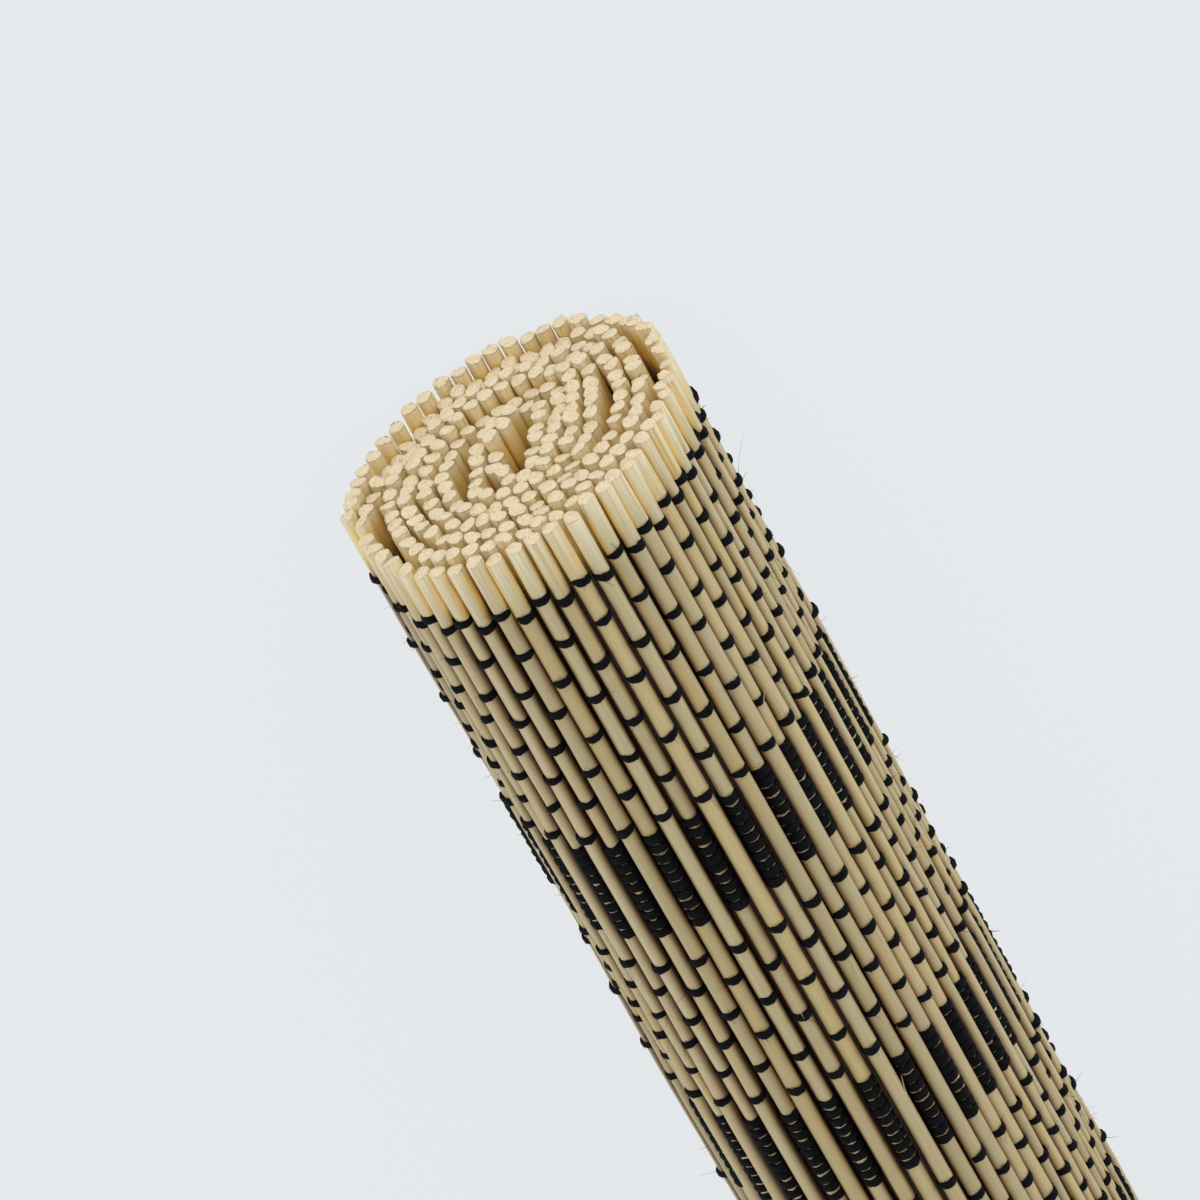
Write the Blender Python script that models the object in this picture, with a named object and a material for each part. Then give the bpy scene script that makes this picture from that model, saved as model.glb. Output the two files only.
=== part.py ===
"""A bamboo placemat rolled up along its length, lying on its side.

One woven mat is one solid: a band of round sticks side by side, wound in a loose spiral.
The roll lies along Y with its near end at -Y, and rests on a small flat spot at z = 0.
Lengths are in millimetres and the mesh is made in metres. The section is worked out in
the plane of X and Z, as seen from the near end.
"""

import bpy
import numpy as np

# The mat laid flat: sticks side by side, each as long as the mat is wide.
STICKS = 260
PITCH = 2.0
MAT_WIDTH = 300.0

# Sticks lie closer in the tight inner turns and where the roll is pushed together, there by
# turns a little in and out.
CROWDING = (
    # up to this stick, distance to the next as a share of the usual, step in or out
    (196, 0.8545, 0.06),
    (211, 0.997, 0.0),
    (221, 0.97, 0.05),
    (227, 0.783, 0.2),
    (233, 0.633, 0.34),
    (241, 1.01, 0.0),
    (249, 0.886, 0.0),
    (255, 1.0, 0.0),
    (259, 0.76, 0.0),
)
LEAST_LINK = 1.5

# The solid's section of one stick: a ridge on both faces, and a thin web to the next stick.
STICK_RADIUS = 0.78
RIDGE_HALF_WIDTH = 0.36
RIDGE_HALF_HEIGHT = 0.69
WEB_HALF_THICKNESS = 0.25
EDGE_HALF_THICKNESS = 0.4
WEB_SET_BACK = 4.0

# How far tips stand back from the mat's full width: a level that drifts along the mat, and a
# step of each stick's own. The first sticks, at the heart of the roll, stand proud. The
# roll's ends are a little askew: each stick lies this much further along Y for its X.
NEAR_LEVELS = (
    # stick, its near tip's level
    (1, 0.0),
    (2, 0.9),
    (30, 0.9),
    (34, 1.8),
    (40, 1.8),
    (44, 0.9),
    (136, 0.9),
    (141, 1.8),
    (149, 1.8),
    (152, 0.9),
    (186, 0.9),
    (189, 2.1),
    (199, 2.1),
    (203, 0.9),
    (234, 0.9),
    (237, 0.5),
    (239, 1.2),
    (242, 1.3),
    (246, 0.8),
    (252, 0.9),
    (256, 0.5),
    (259, 0.7),
)
FAR_LEVEL = 0.9
OWN_STEP = 0.22
MOST_OWN_STEP = 0.6
ASKEW = 0.03
SEED = 81

# How the roll lies: where its middle is, the lowest stick and the flat spot.
MIDDLE_X = -0.33
MIDDLE_HEIGHT = 16.75
LOWEST_STICK = 1.25
FLAT_SPOT_HALF_WIDTH = 4.4
FLAT_SPOT_REACH = 1.6

# How far each turn of the mat lies from the roll's middle, a row for each turn. The sheet
# starts below the middle and winds anticlockwise. Its free edge, the last entry, lies a
# little short of that entry's direction.
DIRECTIONS = ("lower right", "right", "upper right", "top", "upper left", "left", "lower left", "bottom")
TURNS = (
    (2.6, 2.1, 3.4, 5.9, 2.5, 2.6, 5.4, 5.2),
    (3.6, 3.7, 6.9, 7.4, 4.2, 4.1, 8.1, 8.6),
    (7.0, 7.3, 8.4, 8.8, 6.2, 6.1, 10.2, 10.0),
    (9.2, 9.2, 10.4, 10.2, 7.9, 8.1, 11.8, 11.4),
    (10.6, 11.1, 12.4, 11.8, 10.3, 11.0, 13.5, 12.7),
    (11.7, 12.7, 14.6, 13.9, 12.7, 12.8, 15.6, 14.7),
    (13.8, 15.0, 16.4, 15.5, 14.7, 15.65, 17.3, 16.0),
    (15.2, 16.5),
)
FIRST_DIRECTION = -45.0
START_ANGLE = -85.0
START_DISTANCE = 2.6
FREE_EDGE_ANGLE = -11.0

# Just past the free edge the turn that it lay on springs out by this much.
BULGE = 1.2
BULGE_ANGLE = 14.0
BULGE_SPREAD = 9.0

SPLINE_STEPS = 24
SETTLING_STEPS = 600
LAYER_GAP = 1.78
LINK_PULL = 0.25
LAYER_PUSH = 0.45
HOLD_PLACE = 0.02
MM = 0.001

BAMBOO_COLOUR = (0.72, 0.58, 0.33, 1.0)
BAMBOO_ROUGHNESS = 0.6


def clear_scene():
    for old in list(bpy.data.objects):
        bpy.data.objects.remove(old, do_unlink=True)


def unit(vectors):
    return vectors / np.linalg.norm(vectors, axis=1, keepdims=True)


def outward(tangents):
    """The side away from the heart of an anticlockwise spiral."""
    return np.stack([tangents[:, 1], -tangents[:, 0]], axis=1)


def turn_points():
    """The sheet's middle line as one point in each of the table's directions."""
    distances = np.array([START_DISTANCE] + [distance for turn in TURNS for distance in turn])
    step = 360.0 / len(DIRECTIONS)
    angles = FIRST_DIRECTION + step * np.arange(len(distances) - 1)
    angles = np.concatenate([[START_ANGLE], angles])
    angles[-1] += FREE_EDGE_ANGLE
    past_edge = angles - 360.0 * (len(TURNS) - 2) - BULGE_ANGLE
    distances = distances + BULGE * np.exp(-((past_edge / (2 * BULGE_SPREAD)) ** 2))
    angles = np.radians(angles)
    return np.stack([distances * np.cos(angles), distances * np.sin(angles)], axis=1)


def smooth_curve(points):
    """A Catmull-Rom curve through the points, with SPLINE_STEPS steps to each."""
    before = 2 * points[0] - points[1]
    after = 2 * points[-1] - points[-2]
    p = np.vstack([before, points, after])
    t = np.linspace(0, 1, SPLINE_STEPS, endpoint=False)[None, :, None]
    a, b, c, d = (p[i : len(p) - 3 + i, None, :] for i in range(4))
    curve = 2 * b + (c - a) * t + (2 * a - 5 * b + 4 * c - d) * t**2 + (3 * b - 3 * c + d - a) * t**3
    return np.vstack([0.5 * curve.reshape(-1, 2), points[-1]])


def crowding():
    """Each link's share of the usual distance, and each stick's step out (odd) or in (even)."""
    until, shares, steps = np.array(CROWDING).T
    row = np.searchsorted(until, np.arange(STICKS), side="right")
    row = np.minimum(row, len(until) - 1)
    odd = np.arange(STICKS) % 2
    return shares[row[:-1]], steps[row] * (2 * odd - 1)


def sticks_on_curve(curve):
    """The sticks' centres, spaced along the curve from its inner end as the crowding says."""
    steps = np.linalg.norm(np.diff(curve, axis=0), axis=1)
    along = np.concatenate([[0.0], np.cumsum(steps)])
    shares, step_out = crowding()
    places = np.concatenate([[0.0], np.cumsum(shares)])
    places *= along[-1] / places[-1]
    centres = np.stack([np.interp(places, along, curve[:, k]) for k in range(2)], axis=1)
    centres += step_out[:, None] * outward(unit(np.gradient(centres, axis=0)))
    return centres + np.array([MIDDLE_X, MIDDLE_HEIGHT])


def settle(centres):
    """The sticks moved a little, until neighbours are PITCH apart, layers are clear of each
    other and nothing is below the lowest stick's height. Each stays near its first place."""
    here = centres.copy()
    apart = np.abs(np.subtract.outer(np.arange(STICKS), np.arange(STICKS)))
    wanted = np.maximum(PITCH * crowding()[0], LEAST_LINK)[:, None]
    for _ in range(SETTLING_STEPS):
        link = here[1:] - here[:-1]
        length = np.linalg.norm(link, axis=1, keepdims=True)
        pull = LINK_PULL * (length - wanted) * link / length
        here[:-1] += pull
        here[1:] -= pull
        gap = here[:, None, :] - here[None, :, :]
        distance = np.linalg.norm(gap, axis=2) + np.eye(STICKS)
        short = np.where(apart > 1, np.maximum(LAYER_GAP - distance, 0.0), 0.0)
        here += LAYER_PUSH * (gap * (short / distance)[:, :, None]).sum(axis=1)
        here += HOLD_PLACE * (centres - here)
        here[:, 1] = np.maximum(here[:, 1], LOWEST_STICK)
    return here


def end_offsets():
    """How far each stick's near and far ends stand back from the mat's full width."""
    random = np.random.default_rng(SEED)
    stick, level = np.array(NEAR_LEVELS).T
    levels = np.full((STICKS, 2), FAR_LEVEL)
    levels[:, 0] = np.interp(np.arange(STICKS), stick, level)
    own = np.clip(OWN_STEP * random.normal(size=(STICKS, 2)), -MOST_OWN_STEP, MOST_OWN_STEP)
    return np.maximum(levels + own, 0.0)


def band_section(centres):
    """The band's outer and inner edge, three points to a stick: both edges of its ridge and
    the middle of the web after it, with one more at each end of the band."""
    tangents = unit(np.gradient(centres, axis=0))
    up = outward(tangents)
    ridge = RIDGE_HALF_HEIGHT * up
    half_width = RIDGE_HALF_WIDTH * tangents
    middles = 0.5 * (centres[1:] + centres[:-1])
    web = WEB_HALF_THICKNESS * outward(unit(np.diff(centres, axis=0)))
    ends = centres[[0, -1]] + STICK_RADIUS * tangents[[0, -1]] * np.array([[-1.0], [1.0]])
    edge = EDGE_HALF_THICKNESS * up[[0, -1]]

    def one_side(sign):
        side = np.empty((3 * STICKS + 1, 2))
        side[0] = ends[0] + sign * edge[0]
        side[1:-1:3] = centres - half_width + sign * ridge
        side[2:-1:3] = centres + half_width + sign * ridge
        side[3:-1:3] = middles + sign * web
        side[-1] = ends[1] + sign * edge[1]
        return side

    return one_side(1.0), one_side(-1.0)


def flatten_underside(outer):
    """The lowest stretch of the outer edge laid flat on z = 0."""
    under = (np.abs(outer[:, 0]) < FLAT_SPOT_HALF_WIDTH) & (outer[:, 1] < FLAT_SPOT_REACH)
    outer[under, 1] = 0.0
    return outer


def column_offsets(offsets):
    """The stand-back of each point of the section: a stick's own on its ridge, and the deeper
    one of its two neighbours with WEB_SET_BACK more on a web."""
    columns = np.empty((3 * STICKS + 1, 2))
    columns[0] = offsets[0]
    columns[1:-1:3] = offsets
    columns[2:-1:3] = offsets
    columns[3:-1:3] = np.maximum(offsets[1:], offsets[:-1]) + WEB_SET_BACK
    columns[-1] = offsets[-1]
    return columns


def band_mesh(outer, inner, columns):
    """The section carried from the near end to the far one, as a closed mesh of quads."""
    askew = ASKEW * 0.5 * (outer[:, 0] + inner[:, 0])
    near = askew - 0.5 * MAT_WIDTH + columns[:, 0]
    far = askew + 0.5 * MAT_WIDTH - columns[:, 1]

    def edge(side, y):
        return np.stack([side[:, 0], y, side[:, 1]], axis=1)

    points = np.concatenate([edge(outer, near), edge(outer, far), edge(inner, far), edge(inner, near)])
    count = len(outer)
    corner = np.arange(count - 1)
    ring = np.arange(4)[:, None] * count
    following = np.roll(ring, -1, axis=0)
    quads = np.stack(
        np.broadcast_arrays(ring + corner, following + corner, following + corner + 1, ring + corner + 1),
        axis=-1,
    ).reshape(-1, 4)
    last = ring[:, 0] + count - 1
    caps = np.array([ring[::-1, 0], last])
    mesh = bpy.data.meshes.new("rolled_mat")
    mesh.from_pydata((points * MM).tolist(), [], quads.tolist() + caps.tolist())
    mesh.validate()
    mesh.shade_smooth()
    mesh.set_sharp_from_angle(angle=np.radians(30))
    return mesh


def bamboo_material():
    material = bpy.data.materials.new("bamboo")
    material.use_nodes = True
    shader = material.node_tree.nodes["Principled BSDF"]
    shader.inputs["Base Color"].default_value = BAMBOO_COLOUR
    shader.inputs["Roughness"].default_value = BAMBOO_ROUGHNESS
    shader.inputs["Metallic"].default_value = 0.0
    return material


def make_rolled_mat():
    centres = settle(sticks_on_curve(smooth_curve(turn_points())))
    outer, inner = band_section(centres)
    mesh = band_mesh(flatten_underside(outer), inner, column_offsets(end_offsets()))
    mesh.materials.append(bamboo_material())
    mat = bpy.data.objects.new("rolled_mat", mesh)
    bpy.context.scene.collection.objects.link(mat)
    return mat


clear_scene()
make_rolled_mat()
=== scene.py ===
"""The rolled bamboo placemat: sticks, the cotton threads woven through them, and the light.

Shapes are worked out in millimetres, in the plane of X and Z as seen from the near end (-Y),
and go into the meshes in metres. The roll's section repeats the part's own formulas.
"""

import bpy
import numpy as np
from mathutils import Matrix, Vector


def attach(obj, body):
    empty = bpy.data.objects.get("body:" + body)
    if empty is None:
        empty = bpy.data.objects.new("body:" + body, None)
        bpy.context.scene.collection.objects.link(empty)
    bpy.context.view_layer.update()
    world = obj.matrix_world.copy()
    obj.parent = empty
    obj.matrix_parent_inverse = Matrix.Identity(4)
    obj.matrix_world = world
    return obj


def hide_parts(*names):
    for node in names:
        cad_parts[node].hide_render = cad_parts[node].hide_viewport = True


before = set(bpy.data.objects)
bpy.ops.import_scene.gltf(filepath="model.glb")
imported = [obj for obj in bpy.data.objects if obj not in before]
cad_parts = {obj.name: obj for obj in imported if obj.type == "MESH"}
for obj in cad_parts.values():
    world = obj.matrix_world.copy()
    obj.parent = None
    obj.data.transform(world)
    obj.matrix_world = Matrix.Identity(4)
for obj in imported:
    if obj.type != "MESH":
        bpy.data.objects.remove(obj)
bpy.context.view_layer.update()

MM = 0.001

# The mat laid flat, and how the roll lies, as in the part.
STICKS = 260
PITCH = 2.0
MAT_WIDTH = 300.0
STICK_RADIUS = 0.8
CROWDING = (
    # up to this stick, distance to the next as a share of the usual, step in or out
    (196, 0.8545, 0.06),
    (211, 0.997, 0.0),
    (221, 0.97, 0.05),
    (227, 0.783, 0.2),
    (233, 0.633, 0.34),
    (241, 1.01, 0.0),
    (249, 0.886, 0.0),
    (255, 1.0, 0.0),
    (259, 0.76, 0.0),
)
LEAST_LINK = 1.5
NEAR_LEVELS = (
    # stick, its near tip's level
    (1, 0.0),
    (2, 0.9),
    (30, 0.9),
    (34, 1.8),
    (40, 1.8),
    (44, 0.9),
    (136, 0.9),
    (141, 1.8),
    (149, 1.8),
    (152, 0.9),
    (186, 0.9),
    (189, 2.1),
    (199, 2.1),
    (203, 0.9),
    (234, 0.9),
    (237, 0.5),
    (239, 1.2),
    (242, 1.3),
    (246, 0.8),
    (252, 0.9),
    (256, 0.5),
    (259, 0.7),
)
FAR_LEVEL = 0.9
OWN_STEP = 0.22
MOST_OWN_STEP = 0.6
ASKEW = 0.03
SEED = 81
MIDDLE_X = -0.33
MIDDLE_HEIGHT = 16.75
LOWEST_STICK = 1.25
DIRECTIONS = ("lower right", "right", "upper right", "top", "upper left", "left", "lower left", "bottom")
TURNS = (
    (2.6, 2.1, 3.4, 5.9, 2.5, 2.6, 5.4, 5.2),
    (3.6, 3.7, 6.9, 7.4, 4.2, 4.1, 8.1, 8.6),
    (7.0, 7.3, 8.4, 8.8, 6.2, 6.1, 10.2, 10.0),
    (9.2, 9.2, 10.4, 10.2, 7.9, 8.1, 11.8, 11.4),
    (10.6, 11.1, 12.4, 11.8, 10.3, 11.0, 13.5, 12.7),
    (11.7, 12.7, 14.6, 13.9, 12.7, 12.8, 15.6, 14.7),
    (13.8, 15.0, 16.4, 15.5, 14.7, 15.65, 17.3, 16.0),
    (15.2, 16.5),
)
FIRST_DIRECTION = -45.0
START_ANGLE = -85.0
START_DISTANCE = 2.6
FREE_EDGE_ANGLE = -11.0
BULGE = 1.2
BULGE_ANGLE = 14.0
BULGE_SPREAD = 9.0
SPLINE_STEPS = 24
SETTLING_STEPS = 600
LAYER_GAP = 1.78
LINK_PULL = 0.25
LAYER_PUSH = 0.45
HOLD_PLACE = 0.02

# The outer turn's sticks show along their whole length and are the finer ones. Every stick has a
# rough cut that tilts, an uneven section, a slow bend and ends that splay past the last thread.
FIRST_OUTER_STICK = 196
OUTER_SIDES = 16
INNER_SIDES = 12
OUTER_STATIONS = 16
INNER_STATIONS = 3
CUT_ROUGHNESS = 0.05
CUT_TILT = 0.12
OVAL = 0.09
CORNERED = 0.065
BEND = 0.07
BEND_OUT_SHARE = 0.6
SPLAY = 0.07
TIP_RINGS = (
    # distance from the tip, share of radius, splay (also painted tip light), cut wood, painted gap shade
    (0.0, 0.9, 1.0, 1.0, 0.0),
    (0.06, 1.0, 1.0, 0.8, 0.0),
    (0.2, 1.03, 1.0, 0.0, 0.05),
    (1.6, 1.02, 0.8, 0.0, 0.32),
    (3.6, 1.01, 0.5, 0.0, 0.43),
    (8.0, 1.0, 0.0, 0.0, 1.0),
)

# In a bar the threads press the sticks that they cross inwards and the others outwards, and bars
# alternate. The ends stay straight. Sticks that stand in and out by turns do so most at their
# tips, and even out between these two distances from an end.
CRIMP = 0.24
CRIMP_STARTS = 22.0
EVEN_FROM = -8.0
EVEN_AT = 12.0

# Shade is painted into the bamboo towards the gaps between neighbours: from where the first share of the
# surface's direction points out of the roll, and in full where only the second share does.
PAINTED_SHADE_FROM = 0.84
PAINTED_SHADE_AT = 0.12

# Where the threads run, from the mean plane of the near tips. Rows alternate between even
# sticks (0) and odd ones (1); a bar is ten rows side by side over the same sticks.
TIPS_STAND_BACK = 0.8
OPENING_ROWS = (
    # distance, sticks crossed over
    (6.0, 0),
    (7.0, 1),
    (11.0, 0),
    (15.0, 1),
    (18.1, 0),
    (21.8, 1),
    (25.2, 0),
    (29.0, 1),
    (32.7, 0),
)
FIRST_BAR = 34.7
FIRST_BAR_OVER = 1
BAR_PERIOD = 35.3
BARS = 7
THREADS_IN_BAR = 10
THREAD_PITCH = 1.16
ROWS_AFTER_BAR = (14.6, 18.1, 21.5, 24.9, 28.7, 32.2)
LAST_ROWS_AFTER_BAR = (14.6, 18.1, 21.5, 24.9, 28.7, 32.2, 35.7, 39.1, 42.5)
LAST_EDGE_ROWS = (46.3, 47.3)

# One thread over one stick: its half width and height, the share by which it widens towards
# the gaps, and how unevenly it lies. It goes half round and THREAD_REACH degrees more on each
# side. Its plies, its lumps and what it flattens by in the gaps are shares of its own size.
ROW_THREAD = {"half_width": 0.47, "half_height": 0.19, "spread": -0.15, "jitter": 0.1}
BAR_THREAD = {"half_width": 0.5, "half_height": 0.27, "spread": 0.25, "jitter": 0.035}
THREAD_SIDES = 7
THREAD_STEPS = 10
THREAD_REACH = 25.0
THREAD_ACROSS = 0.82
THREAD_STANDS_OFF = 0.6
THREAD_FLATTENS = 0.45
THREAD_SIZE_SPREAD = 0.06
STEP_LENGTH = 0.42
PLY_TURN = 1.3
PLY_DEPTH = 0.07
LUMPS = 0.06
PATTERN_SHIFT = 7.3
LEAST_HEIGHT = 0.03

# Fluff on the threads, and slivers of bamboo that stand off the sticks. All taper by the same
# share. Radii and lengths are the middle ones, and the spreads are those of their logarithms.
TAPER = 0.66
WISP_STEPS = 2
HAIRS = 13000
HAIR_RADIUS = 0.024
HAIR_RADIUS_SPREAD = 0.25
HAIR_LENGTH = 0.48
HAIR_LENGTH_SPREAD = 0.35
HAIR_AWAY = 0.6
HAIR_STRAY = 0.7
HAIR_CURL = 0.8
HAIRS_ON_ROWS = 0.7
SLIVERS = 30
FIRST_SLIVER_STICK = 200
SLIVER_FROM = 0.4
SLIVER_TO_SHARE = 0.9
MOST_SLIVER_TURN = 0.9
SLIVER_ROOT = 0.97
SLIVER_RADIUS = 0.045
SLIVER_RADIUS_SHARES = (0.5, 1.2)
SHOWN_RADIUS_SHARE = 1.5
SLIVER_LENGTH = 3.0
SLIVER_LENGTH_SPREAD = 0.5
SLIVER_AWAY = 0.05
SLIVER_STRAY = 0.1
SLIVER_LIFT = 0.16
SLIVER_CURL = 0.5
LEAST_CURL = 0.0001
SPLINTERS = (
    # stick, distance from the near tips, turn round the stick in degrees, and the splinter's run
    (223, 29.5, -25.0, -0.85, -2.2, 0.5),
    (219, 74.3, 48.0, -0.25, -3.4, 0.3),
)

# The camera: the photo's view of the near end, in pixels of its 1200 x 1200 frame.
FRAME_PIXELS = 1200.0
PIXELS_PER_TANGENT = 8575.0
ELEVATION = 57.0
AXIS_IN_PICTURE = (0.4931, 0.8700)
AIM_POINT = (0.0, -149.0, 16.75)
AIM_PIXEL = (509.9, 445.9)
AIM_DISTANCE = 770.0
SENSOR_WIDTH = 36.0

# The light, in millimetres and watts, and how sharp an edge of a mesh has to be to stay sharp.
WORLD_STRENGTH = 0.78
FLOOR_GLOW = 0.95
FLOOR_BASE = 0.05
FLOOR_HALF_WIDTH = 3000.0
SOFT_BOXES = (
    # name, place, size, power, tint
    ("key_light", (-50.0, -400.0, 120.0), 300.0, 0.38, (1.0, 0.985, 0.96)),
    ("side_light", (-420.0, -60.0, 110.0), 260.0, 0.5, (0.95, 0.985, 1.0)),
    ("fill_light", (420.0, -60.0, 110.0), 260.0, 0.42, (0.95, 0.985, 1.0)),
)
SHARP_ANGLE = 50.0

# Colours as they show on screen.
DULL_BAMBOO = (172, 157, 112)
PALE_BAMBOO = (194, 179, 136)
RIPE_BAMBOO = (200, 179, 110)
ROSY_BAMBOO = (202, 176, 134)
# Painted light: the sides near the tips are lightened with this as if lit there.
TIP_LIGHT_BAMBOO = (248, 235, 197)
BLOTCH = (190, 168, 116)
FIBRE = (182, 152, 94)
STREAK = (204, 160, 72)
CUT_WOOD = (240, 221, 183)
PORE = (216, 166, 104)
# Painted shade towards and in the gaps, with a painted warm glow in the gaps near the tips.
GAP_EDGE_SHADE = (158, 124, 70)
GAP_GLOW_AT_TIPS = (255, 214, 116)
GAP_SHADE = (66, 40, 16)
BLACK_COTTON = (3, 3, 5)
COTTON_FUZZ = (22, 23, 29)
FLOOR_GREY = (229, 233, 236)
DAYLIGHT = (236, 240, 246)

# Every draw but those of the sticks' ends, which are the part's, comes from this seed.
LOOKS_SEED = 11
random = np.random.default_rng(LOOKS_SEED)


# The roll's section.


def unit(vectors):
    """The vectors at length 1."""
    return vectors / np.linalg.norm(vectors, axis=-1, keepdims=True)


def outward(tangents):
    """The side away from the heart of an anticlockwise spiral."""
    return np.stack([tangents[:, 1], -tangents[:, 0]], axis=1)


def turn_points():
    """The mat's middle line as one point in each of the table's directions."""
    distances = np.array([START_DISTANCE] + [distance for turn in TURNS for distance in turn])
    step = 360.0 / len(DIRECTIONS)
    angles = FIRST_DIRECTION + step * np.arange(len(distances) - 1)
    angles = np.concatenate([[START_ANGLE], angles])
    angles[-1] += FREE_EDGE_ANGLE
    past_edge = angles - 360.0 * (len(TURNS) - 2) - BULGE_ANGLE
    distances = distances + BULGE * np.exp(-((past_edge / (2 * BULGE_SPREAD)) ** 2))
    angles = np.radians(angles)
    return np.stack([distances * np.cos(angles), distances * np.sin(angles)], axis=1)


def smooth_curve(points):
    """A cubic curve through the points, with SPLINE_STEPS steps to each. At a point it runs
    parallel to the line between that point's two neighbours."""
    before = 2 * points[0] - points[1]
    after = 2 * points[-1] - points[-2]
    p = np.vstack([before, points, after])
    t = np.linspace(0, 1, SPLINE_STEPS, endpoint=False)[None, :, None]
    a, b, c, d = (p[i : len(p) - 3 + i, None, :] for i in range(4))
    curve = 2 * b + (c - a) * t + (2 * a - 5 * b + 4 * c - d) * t**2 + (3 * b - 3 * c + d - a) * t**3
    return np.vstack([0.5 * curve.reshape(-1, 2), points[-1]])


def crowding():
    """Each link's share of the usual distance, and each stick's step out (odd) or in (even)."""
    until, shares, steps = np.array(CROWDING).T
    row = np.searchsorted(until, np.arange(STICKS), side="right")
    row = np.minimum(row, len(until) - 1)
    odd = np.arange(STICKS) % 2
    return shares[row[:-1]], steps[row] * (2 * odd - 1)


def sticks_on_curve(curve):
    """The sticks' centres, spaced along the curve from its inner end as the crowding says."""
    steps = np.linalg.norm(np.diff(curve, axis=0), axis=1)
    along = np.concatenate([[0.0], np.cumsum(steps)])
    shares, step_out = crowding()
    places = np.concatenate([[0.0], np.cumsum(shares)])
    places *= along[-1] / places[-1]
    centres = np.stack([np.interp(places, along, curve[:, k]) for k in range(2)], axis=1)
    centres += step_out[:, None] * outward(unit(np.gradient(centres, axis=0)))
    return centres + np.array([MIDDLE_X, MIDDLE_HEIGHT])


def settle(centres):
    """The sticks moved a little, until neighbours are PITCH apart, layers are clear of each
    other and nothing is below the lowest stick's height. Each stays near its first place."""
    here = centres.copy()
    apart = np.abs(np.subtract.outer(np.arange(STICKS), np.arange(STICKS)))
    wanted = np.maximum(PITCH * crowding()[0], LEAST_LINK)[:, None]
    for _ in range(SETTLING_STEPS):
        link = here[1:] - here[:-1]
        length = np.linalg.norm(link, axis=1, keepdims=True)
        pull = LINK_PULL * (length - wanted) * link / length
        here[:-1] += pull
        here[1:] -= pull
        gap = here[:, None, :] - here[None, :, :]
        distance = np.linalg.norm(gap, axis=2) + np.eye(STICKS)
        short = np.where(apart > 1, np.maximum(LAYER_GAP - distance, 0.0), 0.0)
        here += LAYER_PUSH * (gap * (short / distance)[:, :, None]).sum(axis=1)
        here += HOLD_PLACE * (centres - here)
        here[:, 1] = np.maximum(here[:, 1], LOWEST_STICK)
    return here


def end_offsets():
    """How far each stick's near and far ends stand back from the mat's full width."""
    own_random = np.random.default_rng(SEED)
    stick, level = np.array(NEAR_LEVELS).T
    levels = np.full((STICKS, 2), FAR_LEVEL)
    levels[:, 0] = np.interp(np.arange(STICKS), stick, level)
    own = np.clip(OWN_STEP * own_random.normal(size=(STICKS, 2)), -MOST_OWN_STEP, MOST_OWN_STEP)
    return np.maximum(levels + own, 0.0)


centres = settle(sticks_on_curve(smooth_curve(turn_points())))
tangents = unit(np.gradient(centres, axis=0))
normals = outward(tangents)
offsets = end_offsets()
askew = ASKEW * centres[:, 0]
near_tips = askew - 0.5 * MAT_WIDTH + offsets[:, 0]
far_tips = askew + 0.5 * MAT_WIDTH - offsets[:, 1]
step_out = crowding()[1]


def own_radii():
    """Each stick's radius: the usual one, or in the outer turn half the distance to its nearer
    neighbour, where they have evened out, if that is less."""
    evened = centres - step_out[:, None] * normals
    link = np.linalg.norm(np.diff(evened, axis=0), axis=1)
    room = 0.5 * np.minimum(np.append(link, link[-1]), np.append(link[0], link))
    room[:FIRST_OUTER_STICK] = STICK_RADIUS
    return np.minimum(room, STICK_RADIUS)


stick_radii = own_radii()


def crimp(stick, distance):
    """How far a stick is moved outwards at this distance from the near tips: a cosine of one swing
    for each two bars, less the stick's step where it has evened out. The turns inside the outer
    one are hidden and get no swing."""
    first = FIRST_BAR + 0.5 * THREAD_PITCH * (THREADS_IN_BAR - 1)
    from_end = np.minimum(distance, MAT_WIDTH - distance)
    fade = np.clip(from_end / CRIMP_STARTS, 0, 1) ** 2
    side = np.where(stick % 2 == FIRST_BAR_OVER, -1.0, 1.0) * (stick >= FIRST_OUTER_STICK)
    evened = np.clip((from_end - EVEN_FROM) / (EVEN_AT - EVEN_FROM), 0, 1)
    wave = CRIMP * fade * side * np.cos(np.pi * (distance - first) / BAR_PERIOD)
    return wave - evened * step_out[stick]


# Meshes.


def tube_faces(count, rings, sides):
    """Quads between neighbouring rings of each of count closed tubes, and a cap on both ends."""
    tube = np.arange(count)[:, None, None] * rings * sides
    ring = np.arange(rings - 1)[None, :, None] * sides
    side = np.arange(sides)[None, None, :]
    here = tube + ring + side
    beside = tube + ring + (side + 1) % sides
    quads = np.stack([here, here + sides, beside + sides, beside], axis=-1).reshape(-1, 4)
    first = tube[:, 0] + side[0]
    last = first[:, ::-1] + (rings - 1) * sides
    return quads.tolist() + first.tolist() + last.tolist()


def make_piece(name, points, faces, material, attributes=(), uv=None):
    """A mesh object from points in millimetres. attributes are pairs of a name and one value for
    each point, and uv is one pair for each point."""
    mesh = bpy.data.meshes.new(name)
    mesh.from_pydata((np.asarray(points).reshape(-1, 3) * MM).tolist(), [], faces)
    for label, values in attributes:
        layer = mesh.attributes.new(label, "FLOAT", "POINT")
        layer.data.foreach_set("value", np.asarray(values, np.float32).reshape(-1))
    if uv is not None:
        corners = np.empty(len(mesh.loops), np.int32)
        mesh.loops.foreach_get("vertex_index", corners)
        layer = mesh.uv_layers.new(name="along_thread")
        layer.data.foreach_set("uv", np.asarray(uv, np.float32).reshape(-1, 2)[corners].reshape(-1))
    mesh.validate()
    mesh.shade_smooth()
    mesh.set_sharp_from_angle(angle=np.radians(SHARP_ANGLE))
    mesh.materials.append(material)
    piece = bpy.data.objects.new(name, mesh)
    bpy.context.scene.collection.objects.link(piece)
    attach(piece, "root")
    return piece


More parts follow.
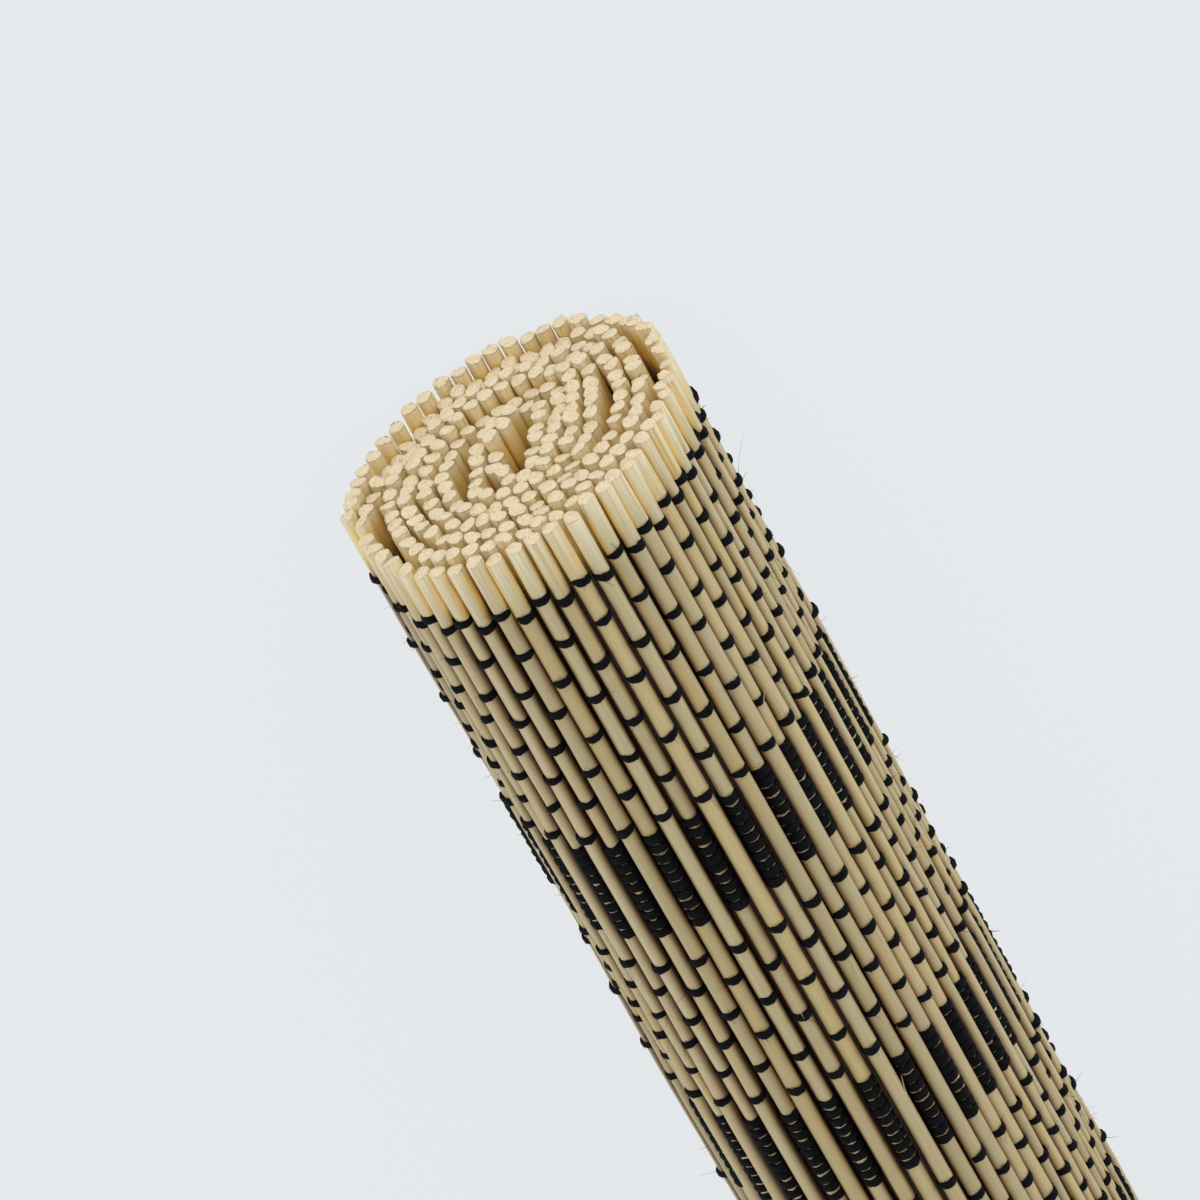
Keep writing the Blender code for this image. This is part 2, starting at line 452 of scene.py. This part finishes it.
def stick_tubes(which, sides, stations):
    """Round sticks: a circle with a little oval and cornered swing, carried from tip to tip.
    The line bends in one slow wave and splays past the last thread. Tips have the rings of the
    table, and a rough cut that tilts a little. With the points come how much each is cut wood,
    how much painted shade it takes towards the gaps, and how far it is splayed, which is also how
    much painted light it takes near the tips, and the number of rings."""
    count = len(which)
    from_end, shrink, splay, cut, shade_ramp = np.array(TIP_RINGS).T
    reach = (far_tips - near_tips)[which, None]
    middle = np.linspace(0.0, 1.0, stations + 2)[None, 1:-1]
    near_part = np.broadcast_to(from_end, (count, len(from_end)))
    along = np.concatenate([near_part, middle * reach, reach - near_part[:, ::-1]], axis=1)
    rings = along.shape[1]

    def both_ends(values, between):
        """The rings' values at either end, with the one value between at the stations."""
        return np.concatenate([values, np.full(stations, between), values[::-1]])

    shrink, splay = both_ends(shrink, 1.0), both_ends(splay, 0.0)
    cut, shade_ramp = both_ends(cut, 0.0), both_ends(shade_ramp, 1.0)
    angle = np.linspace(0.0, 2 * np.pi, sides, endpoint=False)
    phase = 2 * np.pi * random.random((count, 2))
    swing = 1 + OVAL * random.random((count, 1)) * np.cos(2 * angle + phase[:, :1])
    swing = swing + CORNERED * np.cos(3 * angle + phase[:, 1:])
    radius = stick_radii[which, None, None] * swing[:, None, :] * shrink[None, :, None]

    start, turns = random.random((2, count, 2, 1))
    wave = 2 * np.pi * start + np.pi * (1 + turns) * (along / reach)[:, None, :]
    lean = SPLAY * random.normal(size=(count, 2, 2))
    end = (along > 0.5 * reach).astype(int)
    lean = np.take_along_axis(lean, np.broadcast_to(end[:, None, :], (count, 2, rings)), axis=2)
    drift = BEND * np.sin(wave) + splay * lean
    drift[:, 1] = BEND_OUT_SHARE * drift[:, 1] + crimp(which[:, None], along)
    t, n = tangents[which][:, None, :], normals[which][:, None, :]
    line = centres[which][:, None, :] + drift[:, 0, :, None] * t + drift[:, 1, :, None] * n
    x = line[:, :, None, 0] + radius * np.cos(angle)
    z = line[:, :, None, 1] + radius * np.sin(angle)

    tilt = CUT_TILT * random.normal(size=(count, 2, 2))
    slope = tilt[:, :, :1] * np.cos(angle) + tilt[:, :, 1:] * np.sin(angle)
    end = np.broadcast_to(end[:, :, None], (count, rings, sides))
    slope = np.take_along_axis(slope, end, axis=1)
    rough = CUT_ROUGHNESS * random.normal(size=(count, rings, sides))
    y = near_tips[which][:, None, None] + along[:, :, None]
    y = y + cut[:, None] * (radius * slope + rough)
    y = np.where((splay == 1.0)[:, None] & (cut == 0.0)[:, None], y + radius * slope, y)

    # Painted shade: surfaces that face a neighbour, and all of every inner stick, are marked to be
    # painted darker, less so near the tips.
    outwardness = np.cos(angle) * normals[which, :1] + np.sin(angle) * normals[which, 1:]
    shade_in_gap = np.clip((PAINTED_SHADE_FROM - outwardness) / (PAINTED_SHADE_FROM - PAINTED_SHADE_AT), 0, 1)[:, None, :]
    shade_in_gap = np.where(which[:, None, None] < FIRST_OUTER_STICK, 1.0, shade_in_gap)
    gap_shade = shade_in_gap * shade_ramp[:, None]
    # The splay share also sets how much painted light the sides near the tips take.
    cut, painted_light = (np.broadcast_to(values[:, None], x.shape) for values in (cut, splay))
    return np.stack([x, y, z], axis=-1), cut, gap_shade, painted_light, rings


def bamboo_sticks(material):
    """All the sticks in one mesh: coarser ones inside, finer ones in the outer turn. tone, ripe
    and blush are one random value for each stick."""
    groups = (
        (np.arange(FIRST_OUTER_STICK), INNER_SIDES, INNER_STATIONS),
        (np.arange(FIRST_OUTER_STICK, STICKS), OUTER_SIDES, OUTER_STATIONS),
    )
    colours = random.random((STICKS, 3))
    points, cuts, gap_shades, painted_lights, faces, tints = [], [], [], [], [], []
    start = 0
    for which, sides, stations in groups:
        made, cut, gap_shade, painted_light, rings = stick_tubes(which, sides, stations)
        points.append(made.reshape(-1, 3))
        cuts.append(cut.reshape(-1))
        gap_shades.append(gap_shade.reshape(-1))
        painted_lights.append(painted_light.reshape(-1))
        new_faces = tube_faces(len(which), rings, sides)
        faces += [[corner + start for corner in face] for face in new_faces]
        tints.append(np.repeat(colours[which], rings * sides, axis=0))
        start += len(points[-1])
    tints = np.concatenate(tints)
    attributes = (
        ("cut", np.concatenate(cuts)),
        ("gap_shade", np.concatenate(gap_shades)),
        ("painted_light", np.concatenate(painted_lights)),
        ("tone", tints[:, 0]),
        ("ripe", tints[:, 1]),
        ("blush", tints[:, 2]),
    )
    return make_piece("bamboo_sticks", np.concatenate(points), faces, material, attributes)


def thread_places():
    """Every row as (distance from the near tips, sticks crossed over, row of a bar or 0)."""
    rows = [(distance, over, 0) for distance, over in OPENING_ROWS]
    for bar in range(BARS):
        start = FIRST_BAR + BAR_PERIOD * bar
        over = (FIRST_BAR_OVER + bar) % 2
        rows += [(start + THREAD_PITCH * k, over, bar + 1) for k in range(THREADS_IN_BAR)]
        after = ROWS_AFTER_BAR if bar < BARS - 1 else LAST_ROWS_AFTER_BAR + LAST_EDGE_ROWS
        rows += [(start + step, (over + 1 + k) % 2, 0) for k, step in enumerate(after)]
    return np.array(rows)


def thread_strokes(rows, sticks, half_width, half_height, spread, jitter):
    """One short thread over each chosen stick in each row: half an ellipse round the stick that
    runs on into the gaps, with an oval section that changes towards them. Two plies swell it in
    turn. With the points comes the pattern's map, along the thread and round it."""
    sides, steps = THREAD_SIDES, THREAD_STEPS
    row, stick = np.nonzero((sticks[None, :] % 2) == rows[:, 1:2])
    distance = rows[row, 0]
    stick = sticks[stick]
    count = len(row)
    turn = np.radians(np.linspace(-THREAD_REACH, 180 + THREAD_REACH, steps + 1))[None, :]
    radius = stick_radii[stick, None]
    across = -THREAD_ACROSS / STICK_RADIUS * radius * np.cos(turn)
    up = (radius + THREAD_STANDS_OFF * half_height) * np.sin(turn)
    t, n = tangents[stick][:, None, :], normals[stick][:, None, :]
    pressed = crimp(stick, distance)[:, None, None]
    line = centres[stick][:, None, :] + across[..., None] * t + (up[..., None] + pressed) * n
    sideways = -(STICK_RADIUS * np.cos(turn))[..., None] * t
    bow = unit(sideways + (THREAD_ACROSS * np.sin(turn))[..., None] * n)
    shift, tilt = jitter * random.normal(size=(2, count, 1))
    y = -0.5 * MAT_WIDTH + TIPS_STAND_BACK + (distance + askew[stick])[:, None]
    y = y + shift + tilt * np.cos(turn)
    ring = np.linspace(0, 2 * np.pi, sides, endpoint=False)[None, None, :]
    length = np.cumsum(np.full(steps + 1, STEP_LENGTH))[None, :, None]
    twist = 2 * np.pi * (length / PLY_TURN + random.random((count, 1, 1)))
    lumps = LUMPS * random.normal(size=(count, steps + 1, sides))
    swell = 1 + PLY_DEPTH * np.cos(2 * ring - twist) + lumps
    size = 1 + THREAD_SIZE_SPREAD * random.normal(size=(count, 1, 1))
    wide = half_width * (1 + spread * np.cos(turn) ** 2)[:, :, None] * swell * size
    high = half_height * (1 - THREAD_FLATTENS * np.cos(turn) ** 2)[:, :, None] * swell * size
    section = line[:, :, None, :] + (high * np.sin(ring))[..., None] * bow[:, :, None, :]
    height = np.maximum(section[..., 1], LEAST_HEIGHT)
    points = np.stack([section[..., 0], y[:, :, None] + wide * np.cos(ring), height], axis=-1)
    around = np.broadcast_to(ring / (2 * np.pi), points.shape[:3])
    along = np.broadcast_to(length, points.shape[:3]) + PATTERN_SHIFT * stick[:, None, None]
    uv = np.stack([along, around], axis=-1)
    return points, uv


def thread_piece(name, rows, sticks, material, shape):
    """The threads of these rows as one piece, and their points."""
    points, uv = thread_strokes(rows, sticks, **shape)
    faces = tube_faces(*points.shape[:3])
    return make_piece(name, points, faces, material, uv=uv), points


def wisps(roots, directions, curls, lengths, radii):
    """Three-sided tubes that taper. Each runs from its root along its direction and bends towards
    its curl with the square of the distance."""
    share = np.linspace(0, 1, WISP_STEPS + 1)[None, :, None]
    run = share * directions[:, None] + share**2 * curls[:, None]
    line = roots[:, None] + lengths[:, None, None] * run
    side = unit(np.cross(directions, curls))
    other = np.cross(unit(directions), side)
    angle = 2 * np.pi / 3 * np.arange(3)
    ring = np.cos(angle)[:, None] * side[:, None] + np.sin(angle)[:, None] * other[:, None]
    thick = radii[:, None, None, None] * (1 - share[..., None] * TAPER)
    points = line[:, :, None] + thick * ring[:, None]
    points[..., 2] = np.maximum(points[..., 2], LEAST_HEIGHT)
    return points


def hairs(threads, material):
    """Fluff: fine curled hairs from random places on the threads, the first two pieces of which
    are the rows."""
    rings = np.concatenate([points for _, points in threads])
    row_strokes = sum(len(points) for _, points in threads[:2])
    on_row = random.random(HAIRS) < HAIRS_ON_ROWS
    in_rows = random.integers(row_strokes, size=HAIRS)
    in_bars = random.integers(row_strokes, len(rings), size=HAIRS)
    stroke = np.where(on_row, in_rows, in_bars)
    step = random.integers(1, rings.shape[1] - 1, size=HAIRS)
    side = random.integers(rings.shape[2], size=HAIRS)
    roots = rings[stroke, step, side]
    away = unit(roots - rings[stroke, step].mean(axis=1))
    directions = unit(HAIR_AWAY * away + HAIR_STRAY * random.normal(size=(HAIRS, 3)))
    curls = HAIR_CURL * random.normal(size=(HAIRS, 3))
    lengths = HAIR_LENGTH * np.exp(HAIR_LENGTH_SPREAD * random.normal(size=HAIRS))
    radii = HAIR_RADIUS * np.exp(HAIR_RADIUS_SPREAD * random.normal(size=HAIRS))
    points = wisps(roots, directions, curls, lengths, radii)
    return make_piece("thread_fluff", points, tube_faces(*points.shape[:3]), material)


def slivers(material):
    """Splinters: thin slivers that lie along the outer sticks and lift off at one end. The
    table's two show in the photo, and the rest lie anywhere."""
    shown, shown_at, shown_turn, *shown_run = np.array(SPLINTERS).T
    stick = random.integers(FIRST_SLIVER_STICK, STICKS, size=SLIVERS)
    stick = np.concatenate([shown.astype(int), stick])
    count = len(stick)
    length = (far_tips - near_tips)[stick]
    distance = SLIVER_FROM + SLIVER_TO_SHARE * length * random.random(count) ** 2
    distance[: len(shown)] = shown_at
    turn = random.uniform(-MOST_SLIVER_TURN, MOST_SLIVER_TURN, size=count)
    turn[: len(shown)] = np.radians(shown_turn)
    out = np.cos(turn)[:, None] * normals[stick] + np.sin(turn)[:, None] * tangents[stick]
    spot = centres[stick] + SLIVER_ROOT * STICK_RADIUS * out
    roots = np.stack([spot[:, 0], near_tips[stick] + distance, spot[:, 1]], axis=1)
    away = np.stack([out[:, 0], np.zeros(count), out[:, 1]], axis=1)
    sideways = SLIVER_STRAY * random.normal(size=(count, 3))
    inwards = np.sign(-roots[:, 1:2]) * np.array([0.0, 1.0, 0.0])
    runs = unit(inwards + SLIVER_AWAY * away + sideways)
    runs *= SLIVER_LENGTH * np.exp(SLIVER_LENGTH_SPREAD * random.normal(size=(count, 1)))
    runs[: len(shown)] = np.transpose(shown_run)
    lengths = np.linalg.norm(runs, axis=1)
    curls = SLIVER_LIFT * random.random((count, 1)) * away + SLIVER_CURL * sideways + LEAST_CURL
    radii = SLIVER_RADIUS * random.uniform(*SLIVER_RADIUS_SHARES, size=count)
    radii[: len(shown)] = SHOWN_RADIUS_SHARE * SLIVER_RADIUS
    points = wisps(roots, unit(runs), curls, lengths, radii)
    # Slivers take no painted gap shade and half of the painted tip light.
    looks = {"cut": 0.0, "gap_shade": 0.0, "painted_light": 0.5, "tone": 0.5, "ripe": 0.9, "blush": 0.0}
    attributes = [(name, np.full(points.shape[:3], value)) for name, value in looks.items()]
    faces = tube_faces(*points.shape[:3])
    return make_piece("bamboo_splinters", points, faces, material, attributes)


# Materials. A Mix node has its sockets once for each kind of value, and these are the ones
# for colours.
MIX_FIRST = 6
MIX_SECOND = 7
MIX_RESULT = 2


class Worth:
    """A socket in a material's tree. Sums, differences and products of it add Math nodes."""

    def __init__(self, tree, socket):
        self.tree = tree
        self.socket = socket

    def math(self, operation, first, second):
        """A Math node of two values, each a number or a socket."""
        node = self.tree.nodes.new("ShaderNodeMath")
        node.operation = operation
        for slot, value in zip(node.inputs, (first, second)):
            if isinstance(value, Worth):
                self.tree.links.new(value.socket, slot)
            else:
                slot.default_value = value
        return Worth(self.tree, node.outputs[0])

    def __add__(self, other):
        return self.math("ADD", self, other)

    def __sub__(self, other):
        return self.math("SUBTRACT", self, other)

    def __rsub__(self, other):
        return self.math("SUBTRACT", other, self)

    def __mul__(self, other):
        return self.math("MULTIPLY", self, other)

    __radd__ = __add__
    __rmul__ = __mul__

    def over(self, low, high):
        """0 below low, 1 above high and a straight rise between."""
        rise = (self - low) * (1.0 / (high - low))
        return self.math("MINIMUM", self.math("MAXIMUM", rise, 0.0), 1.0)

    def sine(self):
        """The sine of an angle in radians."""
        return self.math("SINE", self, 0.0)


class Finish:
    """A new material and the nodes that it is made of."""

    def __init__(self, name):
        self.material = bpy.data.materials.new(name)
        self.material.use_nodes = True
        self.tree = self.material.node_tree
        self.shader = self.tree.nodes["Principled BSDF"]

    def node(self, kind, settings=(), output=0, **inputs):
        """A node of this kind: its settings first, then what its sockets take."""
        made = self.tree.nodes.new("ShaderNode" + kind)
        for name, value in dict(settings).items():
            setattr(made, name, value)
        for name, value in inputs.items():
            self.feed(made.inputs[name.replace("_", " ")], value)
        return Worth(self.tree, made.outputs[output])

    def feed(self, slot, value):
        """Links a socket to slot, or sets slot to a number or colour."""
        if isinstance(value, Worth):
            self.tree.links.new(value.socket, slot)
        else:
            slot.default_value = value

    def set(self, **inputs):
        """Feeds sockets of the surface's shader."""
        for name, value in inputs.items():
            self.feed(self.shader.inputs[name.replace("_", " ")], value)

    def stretched(self, across, along):
        """Object coordinates in millimetres, times across for X and Z and along for Y."""
        place = self.node("TexCoord", output="Object")
        scale = (across / MM, along / MM, across / MM)
        return self.node("Mapping", Vector=place, Scale=scale)

    def noise(self, across, along, detail=2.0, roughness=0.5):
        """Noise from 0 to 1, with about this many waves to a millimetre in each direction."""
        where = self.stretched(across, along)
        return self.node("TexNoise", Vector=where, Scale=1.0, Detail=detail, Roughness=roughness)

    def attribute(self, name):
        """The piece's own value of this name at each point."""
        return self.node("Attribute", {"attribute_name": name}, output="Fac")

    def mix(self, factor, first, second):
        """The first colour where factor is 0, and the second where it is 1."""
        made = self.tree.nodes.new("ShaderNodeMix")
        made.data_type = "RGBA"
        self.feed(made.inputs["Factor"], factor)
        self.feed(made.inputs[MIX_FIRST], first)
        self.feed(made.inputs[MIX_SECOND], second)
        return Worth(self.tree, made.outputs[MIX_RESULT])

    def bump(self, height, distance):
        """A relief whose height of 1 stands for this many millimetres."""
        return self.node("Bump", Height=height, Distance=distance * MM, Strength=1.0)


def colour(shade):
    """A colour as it shows on screen, 0 to 255, as the linear value that a shader takes."""
    share = np.array(shade) / 255.0
    linear = np.where(share <= 0.04045, share / 12.92, ((share + 0.055) / 1.055) ** 2.4)
    return (*linear.tolist(), 1.0)


def bamboo_finish():
    """Pale split bamboo: a tone for each stick, long fibres, orange streaks, blotches along the
    stick and speckled ends, with painted light near the tips, painted shade in brown towards the
    gaps and dark in them, and a painted warm glow in the gaps near the tips."""
    f = Finish("bamboo")
    fibres = f.noise(6.0, 0.05, detail=3.0, roughness=0.6)
    streaks = f.noise(2.4, 0.03, detail=2.0).over(0.58, 0.70)
    blotches = f.noise(0.5, 0.06, detail=2.0)
    pores = f.noise(5.0, 5.0, detail=2.0)
    names = ("tone", "ripe", "blush", "cut", "gap_shade", "painted_light")
    tone, ripe, blush, cut, gap_shade, painted_light = (f.attribute(name) for name in names)
    body = f.mix(tone, colour(DULL_BAMBOO), colour(PALE_BAMBOO))
    body = f.mix(ripe.over(0.70, 1.0) * 0.7, body, colour(RIPE_BAMBOO))
    body = f.mix(blush.over(0.7, 1.0) * 0.4, body, colour(ROSY_BAMBOO))
    # Painted light: the sides near the tips are lightened as if lit there.
    body = f.mix(painted_light * 0.75, body, colour(TIP_LIGHT_BAMBOO))
    body = f.mix(blotches.over(0.45, 0.75) * 0.3, body, colour(BLOTCH))
    body = f.mix(fibres.over(0.46, 0.68) * 0.5, body, colour(FIBRE))
    body = f.mix(streaks * 0.75, body, colour(STREAK))
    end = f.mix(pores.over(0.5, 0.7) * 0.65, colour(CUT_WOOD), colour(PORE))
    surface = f.mix(cut.over(0.3, 0.9), body, end)
    gap_shade_and_glow = f.mix(painted_light.over(0.0, 0.5), colour(GAP_EDGE_SHADE), colour(GAP_GLOW_AT_TIPS))
    # Painted shade: brown towards the gaps and dark in them, with a painted warm glow near the tips.
    surface = f.mix(gap_shade.over(0.0, 0.45) * 0.85, surface, gap_shade_and_glow)
    surface = f.mix(gap_shade.over(0.45, 1.0) * 0.93, surface, colour(GAP_SHADE))
    height = fibres + pores * cut * 2.0
    f.set(Base_Color=surface, Roughness=0.5, Specular_IOR_Level=0.8, Normal=f.bump(height, 0.08))
    return f.material


def cotton_finish():
    """Nearly black two-ply cotton: slanted plies from the thread's own map, and a fuzzy skin."""
    f = Finish("cotton_thread")
    place = f.node("UVMap", {"uv_map": "along_thread"})
    along = f.node("SeparateXYZ", Vector=place)
    around = Worth(f.tree, along.socket.node.outputs["Y"])
    plies = ((around * 2.0 + along * (1.0 / PLY_TURN)) * (2 * np.pi)).sine()
    fuzz = f.noise(9.0, 9.0, detail=3.0, roughness=0.7)
    body = f.mix(fuzz.over(0.45, 0.8), colour(BLACK_COTTON), colour(COTTON_FUZZ))
    skin = f.bump(plies * 0.35 + fuzz * 0.8, 0.12)
    f.set(Base_Color=body, Roughness=0.75, Specular_IOR_Level=0.12, Normal=skin)
    return f.material


def floor_finish():
    """A floor that glows in the photo's pale grey and takes almost no shadow."""
    f = Finish("pale_floor")
    f.set(Base_Color=(FLOOR_BASE, FLOOR_BASE, FLOOR_BASE, 1.0), Roughness=1.0, Specular_IOR_Level=0.0)
    f.set(Emission_Color=colour(FLOOR_GREY), Emission_Strength=FLOOR_GLOW)
    return f.material


# The pieces.

bamboo = bamboo_finish()
cotton = cotton_finish()
sticks_piece = bamboo_sticks(bamboo)
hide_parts("rolled_mat")

rows = thread_places()
outer_sticks = np.arange(FIRST_OUTER_STICK, STICKS)
single = rows[:, 2] == 0
near = rows[:, 0] < 0.5 * MAT_WIDTH
threads = [
    thread_piece(name, rows[chosen], outer_sticks, cotton, shape)
    for name, chosen, shape in (
        ("thread_rows_near", single & near, ROW_THREAD),
        ("thread_rows_far", single & ~near, ROW_THREAD),
        ("thread_bars_near", ~single & near, BAR_THREAD),
        ("thread_bars_far", ~single & ~near, BAR_THREAD),
    )
]
trims = [piece for piece, _ in threads] + [hairs(threads, cotton), slivers(bamboo)]
for piece in trims:
    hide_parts("rolled_mat")


# Floor, light and camera.


def flat_floor():
    """A large square under the roll, as stage."""
    mesh = bpy.data.meshes.new("floor")
    edge = FLOOR_HALF_WIDTH * MM
    corners = [(-edge, -edge, 0.0), (edge, -edge, 0.0), (edge, edge, 0.0), (-edge, edge, 0.0)]
    mesh.from_pydata(corners, [], [(0, 1, 2, 3)])
    mesh.materials.append(floor_finish())
    floor = bpy.data.objects.new("floor", mesh)
    bpy.context.scene.collection.objects.link(floor)


def camera_axes():
    """Right, down and forward of the picture in the row frame. The camera stands over the roll's
    axis, and the picture is turned so that the axis runs as AXIS_IN_PICTURE says."""
    up = np.radians(ELEVATION)
    forward = np.array([0.0, np.cos(up), -np.sin(up)])
    away = np.array([0.0, np.sin(up), np.cos(up)])
    side = np.array([1.0, 0.0, 0.0])
    across, down = np.array(AXIS_IN_PICTURE) / np.linalg.norm(AXIS_IN_PICTURE)
    return across * away - down * side, down * away + across * side, forward


def aim(thing, place, right, down, forward):
    """Puts a camera or lamp at place, in millimetres, looking forward with down at the bottom."""
    columns = np.stack([right, -down, -forward], axis=1)
    matrix = Matrix(columns.tolist()).to_4x4()
    matrix.translation = Vector((np.asarray(place) * MM).tolist())
    thing.matrix_world = matrix


def photo_camera():
    """The camera from which AIM_POINT shows at AIM_PIXEL, AIM_DISTANCE away."""
    right, down, forward = camera_axes()
    off = (np.array(AIM_PIXEL) - 0.5 * FRAME_PIXELS) / PIXELS_PER_TANGENT * AIM_DISTANCE
    place = np.array(AIM_POINT) - off[0] * right - off[1] * down - AIM_DISTANCE * forward
    lens = bpy.data.cameras.new("photo_camera")
    lens.sensor_width = SENSOR_WIDTH
    lens.lens = PIXELS_PER_TANGENT / FRAME_PIXELS * lens.sensor_width
    camera = bpy.data.objects.new("photo_camera", lens)
    bpy.context.scene.collection.objects.link(camera)
    aim(camera, place, right, down, forward)
    bpy.context.scene.camera = camera


def soft_light(name, place, size, power, tint):
    """A square soft box at place, in millimetres, facing the roll's near end."""
    light = bpy.data.lights.new(name, "AREA")
    light.size = size * MM
    light.energy = power
    light.color = tint
    lamp = bpy.data.objects.new(name, light)
    bpy.context.scene.collection.objects.link(lamp)
    place = np.array(place)
    forward = unit(np.array(AIM_POINT) - place)
    right = unit(np.cross(forward, [0.0, 0.0, 1.0]))
    aim(lamp, place, right, np.cross(forward, right), forward)


def studio():
    """Even light from all round, the soft boxes, and colours shown as they are."""
    world = bpy.data.worlds.new("studio")
    world.use_nodes = True
    shade = world.node_tree.nodes["Background"]
    shade.inputs["Color"].default_value = colour(DAYLIGHT)
    shade.inputs["Strength"].default_value = WORLD_STRENGTH
    bpy.context.scene.world = world
    for box in SOFT_BOXES:
        soft_light(*box)
    bpy.context.scene.view_settings.view_transform = "Standard"


flat_floor()
photo_camera()
studio()
bpy.context.view_layer.update()
